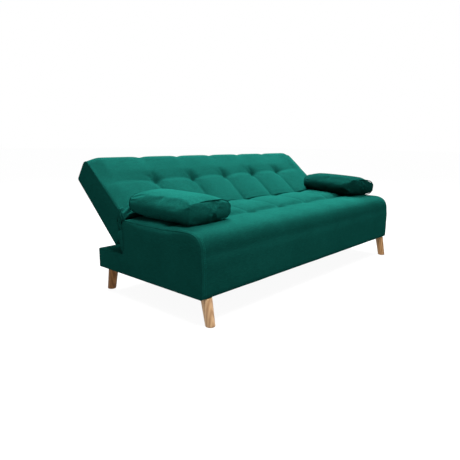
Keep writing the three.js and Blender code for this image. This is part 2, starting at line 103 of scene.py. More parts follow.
class Nodes:
    """A small helper that adds shader nodes by name and links their sockets."""

    def __init__(self, name):
        self.material = bpy.data.materials.new(name)
        self.material.use_nodes = True
        self.tree = self.material.node_tree
        self.shader = self.tree.nodes["Principled BSDF"]

    def add(self, kind, inputs=None, **settings):
        node = self.tree.nodes.new(kind)
        for key, value in settings.items():
            setattr(node, key, value)
        for key, value in (inputs or {}).items():
            self.put(node, key, value)
        return node

    def put(self, node, key, value):
        if isinstance(value, bpy.types.NodeSocket):
            self.tree.links.new(value, node.inputs[key])
        else:
            node.inputs[key].default_value = value

    def math(self, operation, a, b=0.0):
        return self.add("ShaderNodeMath", {0: a, 1: b}, operation=operation).outputs[0]

    def scaled(self, value, factor, plus=None):
        product = self.math("MULTIPLY", value, factor)
        return product if plus is None else self.math("ADD", product, plus)

    def mix(self, factor, a, b):
        return self.add("ShaderNodeMix", {0: factor, 6: a, 7: b}, data_type="RGBA").outputs[2]

    def ramp(self, factor, stops):
        node = self.add("ShaderNodeValToRGB", {0: factor})
        elements = node.color_ramp.elements
        while len(elements) < len(stops):
            elements.new(0.5)
        for element, (position, colour) in zip(elements, stops):
            element.position = position
            element.color = (*colour, 1)
        return node.outputs[0]

    def noise(self, coordinates, scale, detail=3.0, roughness=0.5):
        inputs = {"Vector": coordinates, "Scale": scale, "Detail": detail, "Roughness": roughness}
        return self.add("ShaderNodeTexNoise", inputs).outputs["Fac"]

    def grain(self, scale, detail, roughness=0.5, rotation=(0, 0, 0)):
        """Noise drawn out by a scale for each axis."""
        return self.noise(self.coordinates(rotation, scale), 1.0, detail, roughness)

    def coordinates(self, rotation=(0, 0, 0), scale=(1, 1, 1)):
        source = self.add("ShaderNodeTexCoord").outputs["Object"]
        mapping = self.add("ShaderNodeMapping", {"Vector": source, "Rotation": rotation, "Scale": scale})
        return mapping.outputs[0]

    def bump(self, height, strength, distance, normal=None):
        inputs = {"Height": height, "Strength": strength, "Distance": distance}
        if normal is not None:
            inputs["Normal"] = normal
        return self.add("ShaderNodeBump", inputs).outputs[0]

    def finish(self, colour, rough, **inputs):
        inputs.update(Base_Color=colour, Roughness=rough)
        for key, value in inputs.items():
            self.put(self.shader, key.replace("_", " "), value)
        return self.material


def threads(nodes, coordinates, pitch):
    """Height of a plain weave over any face: over and under threads on the two axes in its plane."""
    split = nodes.add("ShaderNodeSeparateXYZ", {0: coordinates})
    turns = 2 * math.pi / pitch
    waves = [nodes.math("SINE", nodes.scaled(split.outputs[i], turns)) for i in range(3)]
    product = nodes.scaled(waves[0], nodes.math("ADD", waves[1], waves[2]))
    side = nodes.scaled(waves[1], waves[2])
    return nodes.scaled(product, 0.5, nodes.scaled(side, 0.35))


def woven(name, dark, mid, light, lean=0.0, pitch=0.0042, fuzz=0.04):
    """Emerald upholstery: a coarse plain weave of heathered yarn with a faint sheen."""
    nodes = Nodes(name)
    place = nodes.coordinates(rotation=(lean, 0, 0))
    weave = threads(nodes, place, pitch)
    slub_x = nodes.grain((40, 420, 420), 2.0, rotation=(lean, 0, 0))
    slub_y = nodes.grain((420, 40, 420), 2.0, rotation=(lean, 0, 0))
    heather = nodes.scaled(slub_x, 0.5, nodes.scaled(slub_y, 0.5))
    patches = nodes.noise(place, 7.0, 4.0, 0.6)
    tone = nodes.scaled(heather, 0.75, nodes.scaled(patches, 0.25))
    tone = nodes.scaled(weave, 0.05, tone)
    colour = nodes.ramp(tone, [(0.34, dark), (0.5, mid), (0.68, light)])
    rough = nodes.scaled(heather, 0.2, 0.76)
    fibres = nodes.noise(place, 900.0, 2.0)
    first = nodes.bump(weave, 0.5, 0.0009)
    normal = nodes.bump(nodes.scaled(fibres, 0.4, heather), 0.35, 0.0008, first)
    sheen = {"Sheen_Weight": fuzz, "Sheen_Roughness": 0.45, "Sheen_Tint": (0.04, 0.8, 0.64, 1)}
    return nodes.finish(colour, rough, Normal=normal, Specular_IOR_Level=0.0, **sheen)


def leg_timber(name, tint=(1, 1, 1), gloss=1.0):
    """Lacquered hardwood with grain along Z and open pores; its tint paints light or shade, paler for a lit leg
    and darker for a leg in shade.
    """
    nodes = Nodes(name)
    long_grain = nodes.grain((70, 70, 5), 5.0, 0.65)
    wander = nodes.grain((9, 9, 2), 2.0)
    heart = nodes.coordinates((0.12, 0.08, 0), (26, 26, 1.4))
    wave = {"Vector": heart, "Scale": 1.0, "Distortion": 5.0, "Detail": 3.0}
    rings = nodes.add("ShaderNodeTexWave", wave, wave_type="RINGS", rings_direction="X").outputs["Fac"]
    pores = nodes.grain((900, 900, 35), 2.0)
    figure = nodes.scaled(long_grain, 0.55, nodes.scaled(rings, 0.3))
    figure = nodes.scaled(wander, 0.15, figure)
    stops = [(0.25, (0.2, 0.105, 0.045)), (0.5, (0.34, 0.2, 0.1)), (0.75, (0.46, 0.3, 0.165))]
    colour = nodes.ramp(figure, [(at, tuple(np.multiply(tint, shade))) for at, shade in stops])
    pits = nodes.math("GREATER_THAN", pores, 0.64)
    colour = nodes.mix(nodes.scaled(pits, 0.35), colour, (*np.multiply(tint, (0.2, 0.1, 0.045)), 1))
    rough = nodes.scaled(long_grain, 0.25, 0.3)
    relief = nodes.math("SUBTRACT", long_grain, nodes.scaled(pits, 0.5))
    shine = {"Specular_IOR_Level": 0.3 * gloss, "Coat_Weight": 0.08 * gloss, "Coat_Roughness": 0.3}
    return nodes.finish(colour, rough, Normal=nodes.bump(relief, 0.2, 0.0006), **shine)


def plywood(name):
    """Birch plywood: pale veneer with long figure, and dark glue lines where an edge shows."""
    nodes = Nodes(name)
    figure = nodes.grain((4, 60, 60), 5.0, 0.6)
    plies = nodes.grain((700, 12, 12), 1.0)
    stops = [(0.3, (0.42, 0.27, 0.13)), (0.55, (0.6, 0.43, 0.24)), (0.75, (0.7, 0.54, 0.34))]
    colour = nodes.ramp(figure, stops)
    colour = nodes.mix(nodes.scaled(plies, 0.3), colour, (0.3, 0.17, 0.08, 1))
    rough = nodes.scaled(figure, 0.2, 0.6)
    return nodes.finish(colour, rough, Normal=nodes.bump(figure, 0.25, 0.0006))


def zinc_steel(name):
    """Zinc-plated pressed steel: fine brushing, cloudy plating and duller worn patches."""
    nodes = Nodes(name)
    brush = nodes.grain((60, 2500, 60), 3.0)
    cloud = nodes.noise(nodes.coordinates(), 55.0, 4.0, 0.6)
    scratch = nodes.grain((200, 30, 3000), 2.0, rotation=(0.6, 0, 0))
    stops = [(0.35, (0.3, 0.31, 0.32)), (0.6, (0.47, 0.48, 0.49)), (0.8, (0.56, 0.55, 0.5))]
    colour = nodes.ramp(cloud, stops)
    rough = nodes.scaled(cloud, 0.25, nodes.scaled(brush, 0.2))
    height = nodes.scaled(scratch, 0.6, brush)
    rough = nodes.math("ADD", rough, 0.12)
    return nodes.finish(colour, rough, Metallic=0.95, Normal=nodes.bump(height, 0.15, 0.0003))


def felted(name, base, light):
    """Pressed non-woven lining: short random fibres and small spot-bond dimples."""
    nodes = Nodes(name)
    place = nodes.coordinates()
    fibres = nodes.noise(place, 650.0, 4.0, 0.7)
    dents = nodes.add("ShaderNodeTexVoronoi", {"Vector": place, "Scale": 330.0}).outputs["Distance"]
    colour = nodes.ramp(fibres, [(0.35, base), (0.7, light)])
    height = nodes.scaled(dents, 0.6, fibres)
    rough = nodes.scaled(fibres, 0.15, 0.8)
    normal = nodes.bump(height, 0.5, 0.0007)
    return nodes.finish(colour, rough, Normal=normal, Sheen_Weight=0.02, Specular_IOR_Level=0.1)


def strapping(name):
    """Elastic webbing: jute-coloured herringbone ribs with darker edge cords."""
    nodes = Nodes(name)
    place = nodes.coordinates()
    ribs = threads(nodes, place, 0.0032)
    dust = nodes.noise(place, 120.0, 3.0)
    colour = nodes.ramp(dust, [(0.3, (0.16, 0.14, 0.1)), (0.7, (0.34, 0.31, 0.24))])
    rough = nodes.scaled(dust, 0.1, 0.82)
    return nodes.finish(colour, rough, Normal=nodes.bump(ribs, 0.6, 0.0009))


def floor_paint(name):
    """Matt studio floor with a very faint cloud in its paint."""
    nodes = Nodes(name)
    cloud = nodes.noise(nodes.coordinates(), 1.3, 3.0)
    colour = nodes.ramp(cloud, [(0.3, (0.06, 0.06, 0.06)), (0.7, (0.066, 0.066, 0.066))])
    rough = nodes.scaled(cloud, 0.1, 0.85)
    emission = {"Emission_Color": (1, 1, 1, 1), "Emission_Strength": 0.94}
    return nodes.finish(colour, rough, Specular_IOR_Level=0.0, **emission)


DARK, MID, LIGHT = (0.0012, 0.0195, 0.0157), (0.002, 0.0295, 0.0237), (0.003, 0.042, 0.034)


def emerald(name, tone, **settings):
    """The upholstery's weave in a darker or lighter tone; on the backrest and the bolsters the tone is painted
    shade or painted light.
    """
    return woven(name, *[tuple(tone * c for c in shade) for shade in (DARK, MID, LIGHT)], **settings)


FABRIC = emerald("emerald_weave_painted_light", 1.0)
# Painted shade: the backrest's weave is a darker copy of the seat's, turned by its lean to run along the slope.
BACK_PAINTED_SHADE_FABRIC = emerald("emerald_weave_back", 0.93, lean=-LEAN)
BOLSTER_PAINTED_LIGHT_TONES = {"left": 1.2, "right": 0.5}  # painted light and shade: the left copy is lighter and the right copy darker, standing in for how light falls on each
BOLSTER_PAINTED_LIGHT_FABRICS = {side: emerald(f"emerald_weave_{side}", tone) for side, tone in BOLSTER_PAINTED_LIGHT_TONES.items()}
SEAM = emerald("emerald_seam", 0.28, pitch=0.0016)
THREAD = woven("emerald_thread", DARK, (0.006, 0.1, 0.08), MID, pitch=0.0011, fuzz=0.03)
LINING = felted("black_lining", (0.0035, 0.0038, 0.0038), (0.009, 0.0095, 0.0095))
# Painted light and shade on the legs: the front left copy is paler as if lit, the front right is half shaded, and
# the rear ones are darker and duller as painted shade.
LEG_WOOD = leg_timber("lacquered_leg", (1.1, 1.1, 1.08))
HALF_SHADED_LEG_WOOD = leg_timber("lacquered_leg_painted_half_shade", (0.79, 0.72, 0.59), 0.7)
SHADED_LEG_WOOD = leg_timber("lacquered_leg_painted_shade", (0.48, 0.35, 0.2), 0.35)
LEG_PAINTED_LIGHT_LOOKS = {"front_left": LEG_WOOD, "front_right": HALF_SHADED_LEG_WOOD, "rear_left": SHADED_LEG_WOOD,
             "rear_right": SHADED_LEG_WOOD}
PLY = plywood("birch_ply")
STEEL = zinc_steel("zinc_plate")
WEBBING = strapping("elastic_webbing")
RECORD_SLOTS = {n["node"]: n["material_slot"] for n in frame["record"]["subparts"]}
SLOT_LOOKS = {"frame_wood": PLY, "leg_wood": LEG_WOOD, "hinge_steel": STEEL, "webbing": WEBBING,
              "lining_cloth": LINING, "upholstery_fabric": FABRIC, "foam": FABRIC}

# -------- outlines and meshes


def line(a, b, step):
    """Even points from a to b, without b."""
    count = max(1, round(math.dist(a, b) / step))
    a, b = np.array(a), np.array(b)
    return [tuple(a + (b - a) * i / count) for i in range(count)]


def bend(a, corner, b, count):
    """A soft corner from a to b that leans on the corner point."""
    a, corner, b = np.array(a), np.array(corner), np.array(b)
    places = [i / count for i in range(count)]
    return [tuple((1 - t) ** 2 * a + 2 * t * (1 - t) * corner + t * t * b) for t in places]


def outline(turns):
    """A closed outline of soft corners: (start, corner, end, points, step of the line that follows)."""
    points = []
    for turn, following in zip(turns, turns[1:] + turns[:1]):
        start, corner, end, count, step = turn
        points += bend(start, corner, end, count) + line(end, following[0], step)
    return np.array(points)


def ring_normals(ring):
    """Outward normals of a closed outline that goes round either way."""
    after = np.roll(ring, -1, 0)
    turn = np.sign((ring[:, 0] * after[:, 1] - ring[:, 1] * after[:, 0]).sum())
    tangent = after - np.roll(ring, 1, 0)
    tangent *= turn / np.linalg.norm(tangent, axis=1)[:, None]
    return np.stack([tangent[:, 1], -tangent[:, 0]], 1)


def ring_run(ring):
    """Distance round the outline from its first point to each of its points."""
    steps = np.linalg.norm(np.diff(ring, axis=0), axis=1)
    return np.concatenate([[0.0], np.cumsum(steps)])


def stations(edge, extra=()):
    """X places from end to end: fine round the end seams and on a grid that meets every tuft."""
    inner = np.arange(-72, 73) * STEP
    ends = [HALF - edge * (1 - math.cos(a)) for a in np.linspace(0, math.pi / 2, 8)]
    spare = [*ends, *extra, HALF - edge - 0.009]
    return np.array(sorted({round(v, 6) for v in [*inner, *spare, *[-v for v in spare]]}))


BASE_EDGE, SOFT_EDGE, BACK_EDGE, TIGHT_EDGE = 0.014, 0.036, 0.008, 0.006


def edge_inset(x, edge):
    """How far the outline shrinks near an end, so that the cover turns a small radius onto it."""
    near = np.maximum(0.0, abs(x) - (HALF - edge))
    return edge - np.sqrt(np.maximum(0.0, edge * edge - near * near))


def base_edge(run):
    """The seat's ends are softest along its top, full on its roll, and tight where the timber is close."""
    top = smooth_step(run / 0.03) * (1 - smooth_step((run - SEAT_BACK + FRONT) / 0.1))
    soft = smooth_step((run - 0.05) / 0.1) * (1 - smooth_step((run - 0.33) / 0.13))
    return TIGHT_EDGE + (BASE_EDGE - TIGHT_EDGE) * top + (SOFT_EDGE - BASE_EDGE) * soft


def back_edge(run):
    return np.full(len(run), BACK_EDGE)


def circle(count):
    """Even angles all the way round."""
    return [2 * math.pi * k / count for k in range(count)]


def band(first, second, count):
    """Quads between two rings whose points start at these places in the list."""
    nexts = [(k + 1) % count for k in range(count)]
    return [(first + k, first + n, second + n, second + k) for k, n in enumerate(nexts)]


def tube_faces(rings, count, closed=False):
    """Quads round a tube whose points run ring by ring."""
    faces = []
    for i in range(rings if closed else rings - 1):
        faces += band(i * count, (i + 1) % rings * count, count)
    return faces


def sheet_faces(rows, count):
    """Quads of a sheet whose points run row by row."""
    starts = [i * count + k for i in range(rows - 1) for k in range(count - 1)]
    return [(a, a + 1, a + count + 1, a + count) for a in starts]


def loft(name, ring, xs, shape, edge_of, bulge, place):
    """A closed cushion: the outline carried along X, moved out by shape(x, run), with filled ends."""
    run, normal = ring_run(ring), ring_normals(ring)
    edge = edge_of(run)
    count = len(ring)
    verts = []
    for x in xs:
        lift = shape(np.full(count, x), run) - edge_inset(x, edge)
        verts += [place(x, *point) for point in ring + normal * lift[:, None]]
    faces = tube_faces(len(xs), count)
    for end, sign in ((0, -1), (len(xs) - 1, 1)):
        lift = shape(np.full(count, xs[end]), run) - edge
        rim = ring + normal * lift[:, None]
        fill_end(verts, faces, rim, end * count, xs[end], sign, bulge, place)
    return make_mesh(name, verts, faces)


def fill_end(verts, faces, rim, first, x, sign, bulge, place):
    """Fills an end with a grid of triangles, domed a little between its seams."""
    count = len(rim)
    low, high = rim.min(0), rim.max(0)
    grid = []
    spacing, clearance, reach = 0.02, 0.009, 0.035
    for y in np.arange(low[0] + spacing / 2, high[0], spacing):
        for z in np.arange(low[1] + spacing / 2, high[1], spacing):
            if inside(rim, y, z) and rim_distance(rim, y, z) > clearance:
                grid.append((y, z))
    points = [Vector(p) for p in rim] + [Vector(p) for p in grid]
    edges = [(i, (i + 1) % count) for i in range(count)]
    flat, _, triangles, origins, _, _ = delaunay_2d_cdt(points, edges, [], 1, 1e-7)
    index = {}
    for i, point in enumerate(flat):
        source = min(origins[i]) if origins[i] else None
        if source is not None and source < count:
            index[i] = first + source
            continue
        near = rim_distance(rim, *point)
        dome = bulge * (1 - math.exp(-near / reach))
        index[i] = len(verts)
        verts.append(place(x + sign * dome, *point))
    faces += [tuple(index[i] for i in triangle) for triangle in triangles]


def inside(rim, y, z):
    """Whether a point lies within a closed outline."""
    a, b = rim, np.roll(rim, -1, 0)
    crosses = (a[:, 1] > z) != (b[:, 1] > z)
    at = a[:, 0] + (z - a[:, 1]) / np.where(crosses, b[:, 1] - a[:, 1], 1) * (b[:, 0] - a[:, 0])
    return bool((crosses & (y < at)).sum() % 2)


def rim_distance(rim, y, z):
    """Distance from a point to a closed outline."""
    a, b = rim, np.roll(rim, -1, 0)
    along = b - a
    t = np.clip(((np.array([y, z]) - a) * along).sum(1) / (along * along).sum(1), 0, 1)
    return float(np.linalg.norm(a + along * t[:, None] - [y, z], axis=1).min())


def add_object(name, data):
    made = bpy.data.objects.new(name, data)
    scene.collection.objects.link(made)
    return made


def smooth_shade(mesh):
    for polygon in mesh.polygons:
        polygon.use_smooth = True


def make_mesh(name, verts, faces, material=None):
    """A smooth-shaded object in the scene, with doubles merged and normals facing out."""
    mesh = bpy.data.meshes.new(name)
    mesh.from_pydata([tuple(v) for v in verts], [], faces)
    build = bmesh.new()
    build.from_mesh(mesh)
    bmesh.ops.remove_doubles(build, verts=build.verts, dist=1e-6)
    bmesh.ops.recalc_face_normals(build, faces=build.faces)
    build.to_mesh(mesh)
    build.free()
    smooth_shade(mesh)
    if material:
        mesh.materials.append(material)
    return add_object(name, mesh)


def subdivide(piece):
    """One smoothing subdivision, applied, so that the final mesh is the piece's own."""
    modifier = piece.modifiers.new("subdivide", "SUBSURF")
    modifier.levels = modifier.render_levels = 1
    graph = bpy.context.evaluated_depsgraph_get()
    made = bpy.data.meshes.new_from_object(piece.evaluated_get(graph))
    piece.modifiers.clear()
    piece.data = made
    smooth_shade(made)


def set_look(piece, material):
    piece.data.materials.clear()
    piece.data.materials.append(material)


# -------- padding shapes


def tuft_gap(x):
    """Distance along X to the nearest tuft column."""
    return np.min([np.abs(x - k) for k in TUFT_X], axis=0)


def panel_place(x):
    """-1 to 1 across each panel, from one tuft column or end seam to the next."""
    columns = np.array([-HALF, *TUFT_X, HALF])
    i = np.clip(np.searchsorted(columns, x) - 1, 0, len(columns) - 2)
    return np.clip(2 * (x - columns[i]) / (columns[i + 1] - columns[i]) - 1, -1, 1)


def swell(u, power, root):
    """A pillow's height from -1 to 1: flat in the middle and steep at its seams."""
    return np.clip(1 - np.abs(np.clip(u, -1, 1)) ** power, 0, 1) ** root


def mound(distance, size):
    """1 in the middle, falling away over about the given size."""
    return np.exp(-((distance / size) ** 2))


def smooth_step(t):
    t = np.clip(t, 0, 1)
    return t * t * (3 - 2 * t)


def near_ends(x, reach):
    """1 away from the end seams, falling to 0 on them."""
    return smooth_step((HALF - np.abs(x)) / reach)


def pulls(x, run, at, seed):
    """The tufts: a soft funnel, a sharp core and short creases that fan out of it."""
    funnel, funnel_size, core, core_size = 0.011, 0.034, 0.006, 0.011
    total = np.zeros_like(x)
    for n, k in enumerate(TUFT_X):
        dx, dy = x - k, run - at
        radius = np.hypot(dx, dy) + 1e-6
        angle = np.arctan2(dy, dx)
        total -= funnel * mound(radius, funnel_size) + core * mound(radius, core_size)
        waves = np.cos(6 * angle + seed + n * 1.7) + 0.6 * np.cos(9 * angle + 2.3 * n)
        total += 0.0013 * waves * mound(radius - 0.04, 0.026)
    return total


def cloth_life(x, run, seed):
    """Slow unevenness of stuffed cloth."""
    waves = np.sin(x * 11.3 + seed) * np.sin(run * 17.1 + 2 * seed)
    waves += 0.5 * np.sin(x * 23.9 + run * 9.7 + seed)
    return 0.0009 * waves


def base_shape(x, run):
    """How far the base cover stands out of its plain outline."""
    roll_end = SEAT_BACK - FRONT - ROLL + ROLL_ARC
    front_end = roll_end + SEAT_TOP - ROLL - BOTTOM - 0.004
    puff_low, puff_more, plump, face_puff = 0.006, 0.030, 0.013, 0.006
    across = panel_place(x)
    crease = SEAT_TUFT_RUN + 0.008 * (1 - across ** 2)
    rear_zone = run < crease
    pillow = swell(across, 2.4, 0.64) * swell(2 * run / crease - 1, 3.0, 0.6)
    outer = smooth_step((HALF - np.abs(x)) / 0.2)
    rear = (puff_low + puff_more * outer) * pillow - 0.007 * mound(run, 0.03)
    past = run - crease
    fore = past / (roll_end - crease)
    broad = swell(2 * fore - 1, 2.2, 0.7) * (fore < 1)
    front = plump * broad * (0.3 + 0.7 * near_ends(x, 0.09))
    column = mound(tuft_gap(x), 0.03)
    front -= 0.006 * column * (1 - smooth_step(past / 0.15))
    lift = np.where(rear_zone, rear, front)
    lift -= 0.006 * mound(past, 0.012) * near_ends(x, 0.06)
    lift += pulls(x, run, SEAT_TUFT_RUN, 0.4)
    lift += cloth_life(x, run, 0.7) * near_ends(x, 0.1)
    face = smooth_step((run - roll_end) / 0.05) * (1 - smooth_step((run - front_end) / 0.012))
    lift += face * face_puff * (0.5 + 0.5 * near_ends(x, 0.07))
    lift *= run < front_end + 0.02
    return np.minimum(lift, pressed(x, SEAT_BACK - run))


def pressed(x, y):
    """The height the bolsters press the seat down to."""
    limit = np.full(x.shape, 1.0)
    for centre_x, centre_y, rise, yaw, pitch, roll in BOLSTERS.values():
        turn = math.radians(yaw)
        dx = (x - centre_x) * math.cos(turn) + (y - centre_y) * math.sin(turn)
        across = np.abs(dx) / (BOLSTER_WIDTH / 2)
        dy = (y - centre_y) * math.cos(turn) - (x - centre_x) * math.sin(turn)
        along = np.abs(dy) / (BOLSTER_LENGTH / 2)
        slope = dy * math.tan(math.radians(pitch)) - dx * math.tan(math.radians(roll))
        under = SEAT_BED + rise + slope - 0.0015
        outside = np.maximum(0, np.maximum(across, along) - 0.8)
        limit = np.minimum(limit, under + 0.35 * outside ** 1.6)
    return limit


def base_ring():
    """The base's outline in Y and Z, from its rear top edge, over the seat, down the front and round."""
    foot, rear_round, tail_round, inner = 0.006, 0.016, 0.008, 0.004
    back, top, low, tail = SEAT_BACK, SEAT_TOP, BOTTOM, TAIL_TOP
    slot_low, slot_high = (back, SLOT_LOW), (back, SLOT_HIGH)
    return outline([
        ((back, top - rear_round), (back, top), (back - rear_round, top), 4, STEP),
        ((FRONT + ROLL, top), (FRONT, top), (FRONT, top - ROLL), 11, STEP),
        ((FRONT, low + foot), (FRONT, low), (FRONT + foot, low), 3, 0.05),
        ((REAR - foot, low), (REAR, low), (REAR, low + foot), 3, 0.015),
        ((REAR, tail - tail_round), (REAR, tail), (REAR - tail_round, tail), 3, 0.02),
        ((back + inner, tail), (back, tail), (back, tail + inner), 2, 0.016),
        (slot_low, slot_low, slot_low, 0, 0.0175),
        (slot_high, slot_high, slot_high, 0, 0.012),
    ])


def back_shape(x, run):
    """How far the backrest's cover stands out of its plain outline, run from its lower front edge."""
    plump, brim = 0.0175, 0.429
    across = panel_place(x)
    crease = BACK_TUFT_RUN + 0.011 * (1 - across ** 2)
    puff = plump * swell(across + 0.22 * (1 - across ** 2), 2.4, 0.66)
    rise = np.clip(2 * run / crease - 1, 0, 1)
    lower = puff * swell(0.8 * rise, 5.0, 0.6)
    past = run - crease
    above = past / (brim - crease)
    dome = swell(np.maximum(2 * above - 1, 0), 2.4, 0.75)
    column = mound(tuft_gap(x), 0.035)
    own = (plump * near_ends(x, 0.09) + 0.003) * dome
    own -= 0.0035 * smooth_step((above - 0.5) / 0.3) * column * (above < 1)
    start = 0.79 * puff
    upper = start + (own - start) * smooth_step(past / 0.08)
    lift = np.where(past > 0, upper, lower)
    lift -= 0.0045 * mound(past, 0.008) * near_ends(x, 0.25)
    lift += pulls(x, run, BACK_TUFT_RUN, 1.1)
    rim = mound(run - brim + 0.01, 0.04)
    notch = mound(tuft_gap(x), 0.02)
    lift += rim * (0.009 * near_ends(x, 0.06) - 0.0045 * notch)
    lift += cloth_life(x, run, 2.1) * near_ends(x, 0.1) * (run < brim - 0.045)
    return lift


def back_ring():
    """The backrest's outline in U and W, from its lower front edge, up the face and round."""
    low_w, top_w, top = BACK_FACE_W, 0.138, BACK_LENGTH
    relief, clear, foot = 0.064, 0.0015, -0.0085
    return outline([
        ((relief, low_w - 0.02), (relief, low_w), (relief + 0.02, low_w), 4, STEP),
        ((top - 0.03, top_w), (top + 0.013, top_w), (top + 0.01, top_w - 0.04), 6, STEP),
        ((top, 0.012), (top, clear), (top - 0.012, clear), 4, 0.022),
        ((foot + 0.005, clear), (foot, clear), (foot, 0.006), 3, 0.0145),
        ((foot, 0.068), (foot, 0.077), (foot + 0.01, 0.081), 3, 0.014),
        ((relief - 0.004, 0.106), (relief, 0.108), (relief, 0.112), 2, 0.013),
    ])


def in_base(x, y, z):
    return (x, y, z)


def back_point(u, w):
    """Y and Z of a place in the backrest's own frame."""
    return BACK_ORIGIN + u * ALONG + w * OUT


def in_back(x, u, w):
    return (x, *back_point(u, w))


def cut_slots(piece):
    """Opens the seat block's rear wall where the hinge arms swing, with fabric-lined slots."""
    near, far = SLOT_STATIONS
    build = bmesh.new()
    build.from_mesh(piece.data)
    for side in SIDES:
        found = []
        for face in build.faces:
            x, y, z = face.calc_center_median()
            if near < side * x < far and SLOT_LOW < z < SLOT_HIGH and abs(y - SEAT_BACK) < 0.004:
                found.append(face)
        made = bmesh.ops.extrude_face_region(build, geom=found)["geom"]
        moved = [v for v in made if isinstance(v, bmesh.types.BMVert)]
        bmesh.ops.translate(build, verts=moved, vec=(0, -SLOT_DEPTH, 0))
        bmesh.ops.delete(build, geom=found, context="FACES")
    bmesh.ops.recalc_face_normals(build, faces=build.faces)
    build.to_mesh(piece.data)
    build.free()


# -------- the seat and the backrest

PAD_BULGE = 0.003
base_xs = stations(SOFT_EDGE, SLOT_STATIONS)
base_pad = loft("base_upholstery", base_ring(), base_xs, base_shape, base_edge, PAD_BULGE, in_base)
cut_slots(base_pad)
subdivide(base_pad)
set_look(base_pad, FABRIC)
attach(base_pad, "base")
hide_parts("base_cover", "seat_foam")

back_xs = stations(BACK_EDGE)
back_pad = loft("backrest_cushion", back_ring(), back_xs, back_shape, back_edge, PAD_BULGE, in_back)
subdivide(back_pad)
set_look(back_pad, BACK_PAINTED_SHADE_FABRIC)
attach(back_pad, "backrest")
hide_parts("back_cover", "back_foam")

# -------- bolsters


def bolster_place(side):
    """From a bolster's own frame, its middle at the origin and its length along Y, to the sofa's."""
    centre_x, centre_y, rise, yaw, pitch, roll = BOLSTERS[side]
    place = Matrix.Translation((centre_x, centre_y, SEAT_TOP + SEAT_BED + rise))
    for angle, axis in ((yaw, "Z"), (pitch, "X"), (roll, "Y")):
        place = place @ Matrix.Rotation(math.radians(angle), 4, axis)
    return place @ Matrix.Translation((0, 0, BOLSTER_HEIGHT / 2))


def bolster_section(angle, y, grow=1.0):
    """A point of the cushion's outline across its length: oblong at the ends and rounder between them."""
    from_end = BOLSTER_LENGTH / 2 - abs(y)
    boxy, narrowed = (1.0, 0.07) if y < 0 else (0.4, 0.13)  # front end, rear end
    near = boxy * math.exp(-from_end / 0.06)
    box_x, box_z = 0.9 - 0.6 * near, 0.96 - 0.62 * near
    tight = 1 - narrowed * math.exp(-from_end / 0.025)
    half_w, half_h = BOLSTER_WIDTH / 2 * tight, BOLSTER_HEIGHT / 2 * tight * (1.06 - 0.14 * near)
    c, s = math.cos(angle), math.sin(angle)
    x = math.copysign(abs(c) ** box_x, c) * half_w * grow
    z = math.copysign(abs(s) ** box_z, s) * half_h * grow
    if y < 0:
        z *= 1 - 0.36 * near * smooth_step((x / half_w - 0.1) / 0.9)
    return x, max(z, -BOLSTER_HEIGHT / 2 + 0.003)


def bolster_mesh(name, side):
    """A boxed cushion: a soft oblong tube with a sewn-in panel at each end, filled by pressure."""
    half_l = BOLSTER_LENGTH / 2
    around, along, steps = 112, 60, 9
    gather, front_crown, rear_crown = 0.0012, 0.015, 0.005  # flatter towards the backrest
    verts, held = [], []
    seed = 3.0 * len(side)
    places = [2 * i / along - 1 for i in range(along + 1)]
    ys = [math.copysign(1 - (1 - abs(t)) ** 1.2, t) * half_l for t in places]
    for y in ys:
        for angle in circle(around):
            x, z = bolster_section(angle, y)
            edge = math.exp(-(half_l - abs(y)) / 0.03)
            waves = math.sin(19 * angle + 9 * y + seed) + 0.8 * math.sin(31 * angle + 2.0 * seed)
            scale = 1 + gather * edge * waves / max(0.03, math.hypot(x, z))
            if abs(abs(y) - half_l) < 1e-6:
                held.append(len(verts))
            verts.append(Vector((x * scale, y, z * scale)))
    faces = tube_faces(along + 1, around)
    for end, sign, crown in ((0, -1, front_crown), (along, 1, rear_crown)):
        previous = end * around
        for j in range(1, steps + 1):
            r = 1 - j / (steps + 0.6)
            start = len(verts)
            dome = crown * (1 - r ** 2.4) ** 0.75
            for angle in circle(around):
                x, z = bolster_section(angle, half_l, r)
                verts.append(Vector((x, sign * (half_l + dome), z)))
            faces += band(previous, start, around)
            previous = start
        faces.append(tuple(range(previous, previous + around)))
    piece = make_mesh(name, verts, faces)
    sewn = set(held)
    weights = [1.0 if i in sewn else 0.03 for i in range(len(verts))]
    inflate(piece, weights, pressure=2.5, slack=0.012, cap=0.008)
    pinch_ends(piece)
    flatten_under(piece, -BOLSTER_HEIGHT / 2 + 0.002)
    piece.data.transform(bolster_place(side))
    subdivide(piece)
    return piece


def pinch_ends(piece):
    """Puckers each end panel under its top seam, with short folds that fan out of the pucker."""
    centre_x, centre_z, depth, fold_height = 0.02, 0.032, 0.007, 0.0019
    for vertex in piece.data.vertices:
        spot = vertex.co
        on_panel = smooth_step((abs(spot.y) - BOLSTER_LENGTH / 2 + 0.001) / 0.004)
        dx, dz = spot.x - centre_x, spot.z - centre_z
        radius, angle = math.hypot(dx, dz), math.atan2(dz, dx)
        pucker = depth * math.exp(-((radius / 0.012) ** 2))
        fan = math.cos(5 * angle + 0.6) + 0.5 * math.cos(8 * angle + 2.0)
        folds = fold_height * fan * math.exp(-(((radius - 0.026) / 0.02) ** 2))
        sag = 0.0005 * math.sin(spot.x * 70 + 1.3) * math.sin(spot.z * 55 + 0.4)
        upper = smooth_step((spot.z + 0.015) / 0.03)
        spot.y -= math.copysign(float(on_panel * (pucker + folds * upper + sag)), spot.y)


def flatten_under(piece, floor_z):
    """The cushion rests on its underside, so nothing hangs below it."""
    for vertex in piece.data.vertices:
        if vertex.co.z < floor_z:
            vertex.co.z = floor_z + 0.15 * (vertex.co.z - floor_z)


